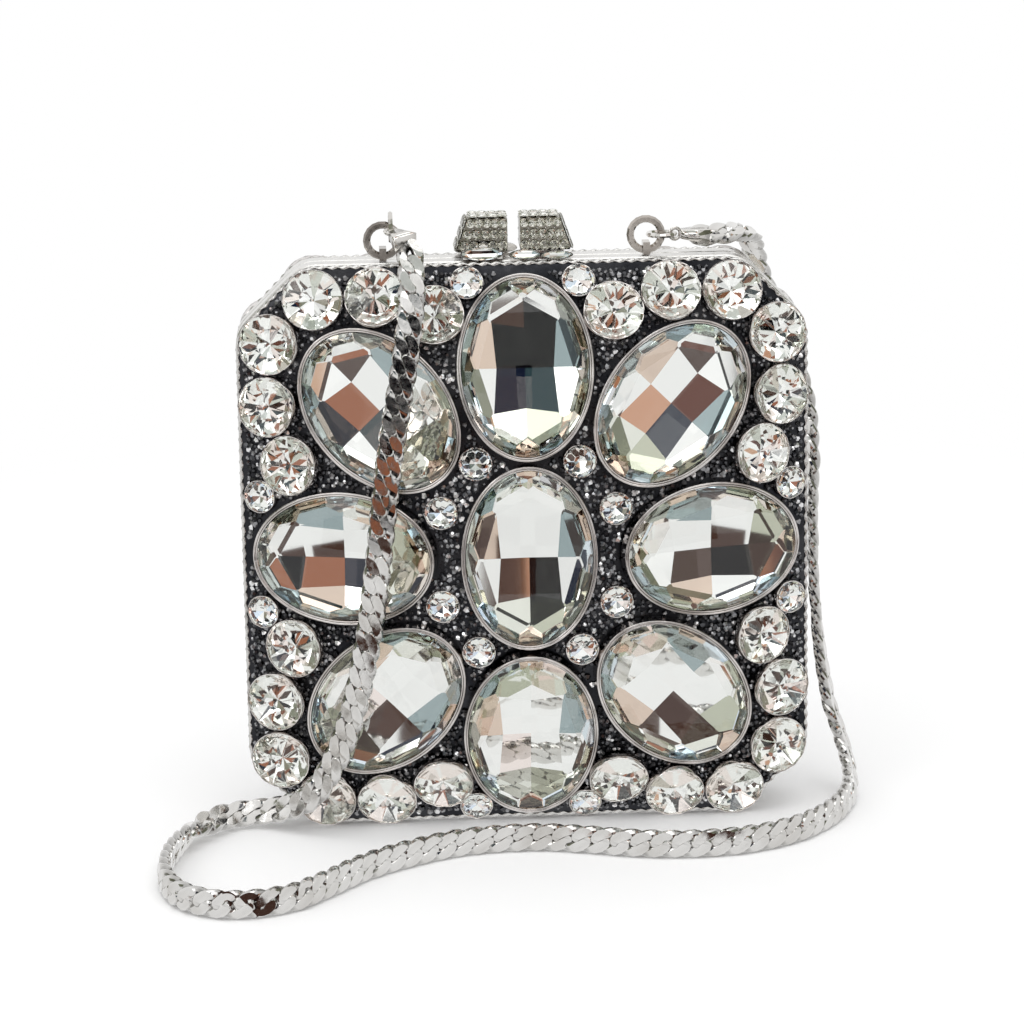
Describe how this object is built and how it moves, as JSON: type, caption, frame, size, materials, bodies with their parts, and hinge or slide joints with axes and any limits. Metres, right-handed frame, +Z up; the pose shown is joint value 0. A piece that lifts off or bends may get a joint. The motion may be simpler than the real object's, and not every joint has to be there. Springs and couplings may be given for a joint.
{
  "type": "evening clutch",
  "caption": "Hard-shell crystal evening clutch: two hinged pillow-shaped halves covered in oval and round faceted stones, kiss-lock posts and a flat curb chain strap.",
  "frame": {"origin": "On the floor plane under the middle of the closed case, without the chain: bottom centre of the case's bounding box.", "axes": "+X runs to the right as the front face is seen, +Y runs from the front face to the back one, +Z is up. The bag stands on its hinged bottom edge."},
  "size_m": [0.1648, 0.1014, 0.1434],
  "materials": {
    "shell_metal": "dark hematite plated shell with fine set stones and bright bezels",
    "oval_crystal": "large faceted clear crystal over a mirror foil",
    "rivoli_crystal": "round faceted crystal with foiled back in a thin silver cup",
    "band_metal": "satin silver band with a twisted wire edge",
    "lining_cloth": "matte dark lining",
    "hinge_metal": "plain hinge metal",
    "clasp_metal": "silver posts set with fine stones",
    "ring_metal": "pewter-toned round wire",
    "chain_metal": "polished silver flat curb links"
  },
  "bodies": {
    "front_half": {"front_shell": "shell_metal", "front_band": "band_metal", "front_lining": "lining_cloth", "front_oval_centre": "oval_crystal", "front_oval_top": "oval_crystal", "front_oval_bottom": "oval_crystal", "front_oval_left": "oval_crystal", "front_oval_right": "oval_crystal", "front_oval_upper_left": "oval_crystal", "front_oval_upper_right": "oval_crystal", "front_oval_lower_left": "oval_crystal", "front_oval_lower_right": "oval_crystal", "front_rivolis_upper_left": "rivoli_crystal", "front_rivolis_upper_right": "rivoli_crystal", "front_rivolis_lower_left": "rivoli_crystal", "front_rivolis_lower_right": "rivoli_crystal", "front_hinge_leaf": "hinge_metal", "hinge_pin": "hinge_metal", "left_clasp_seat": "hinge_metal", "left_ring_lug": "ring_metal", "left_end_ring": "chain_metal", "left_end_cap": "chain_metal", "right_ring_lug": "ring_metal", "right_end_ring": "chain_metal", "right_end_cap": "chain_metal", "strap_chain": "chain_metal"},
    "back_half": {"back_shell": "shell_metal", "back_band": "band_metal", "back_lining": "lining_cloth", "back_oval_centre": "oval_crystal", "back_oval_top": "oval_crystal", "back_oval_bottom": "oval_crystal", "back_oval_left": "oval_crystal", "back_oval_right": "oval_crystal", "back_oval_upper_left": "oval_crystal", "back_oval_upper_right": "oval_crystal", "back_oval_lower_left": "oval_crystal", "back_oval_lower_right": "oval_crystal", "back_rivolis_upper_left": "rivoli_crystal", "back_rivolis_upper_right": "rivoli_crystal", "back_rivolis_lower_left": "rivoli_crystal", "back_rivolis_lower_right": "rivoli_crystal", "back_hinge_leaf": "hinge_metal", "right_clasp_seat": "hinge_metal"},
    "left_clasp": {"left_clasp_pin": "hinge_metal", "left_clasp_post": "clasp_metal"},
    "right_clasp": {"right_clasp_pin": "hinge_metal", "right_clasp_post": "clasp_metal"},
    "left_ring": {"left_strap_ring": "ring_metal"},
    "right_ring": {"right_strap_ring": "ring_metal"}
  },
  "joints": [
    {"name": "case_hinge", "type": "hinge", "parent": "front_half", "child": "back_half", "pos_m": [0, 0, 0.002], "axis": [-1, 0, 0], "range_deg": [0, 90]},
    {"name": "left_post_pin", "type": "hinge", "parent": "front_half", "child": "left_clasp", "pos_m": [-0.0087, -0.0032, 0.1347], "axis": [1, 0, 0], "range_deg": [-4, 4], "stiffness_Nm_per_rad": 0.08},
    {"name": "right_post_pin", "type": "hinge", "parent": "back_half", "child": "right_clasp", "pos_m": [0.0057, 0.0032, 0.1347], "axis": [1, 0, 0], "range_deg": [-4, 4], "stiffness_Nm_per_rad": 0.08},
    {"name": "left_ring_swing", "type": "hinge", "parent": "front_half", "child": "left_ring", "pos_m": [-0.0314, -0.0025, 0.13315], "axis": [1, 0, 0], "range_deg": [-6, 6]},
    {"name": "right_ring_swing", "type": "hinge", "parent": "front_half", "child": "right_ring", "pos_m": [0.0288, -0.0025, 0.13315], "axis": [1, 0, 0], "range_deg": [-6, 6]}
  ]
}
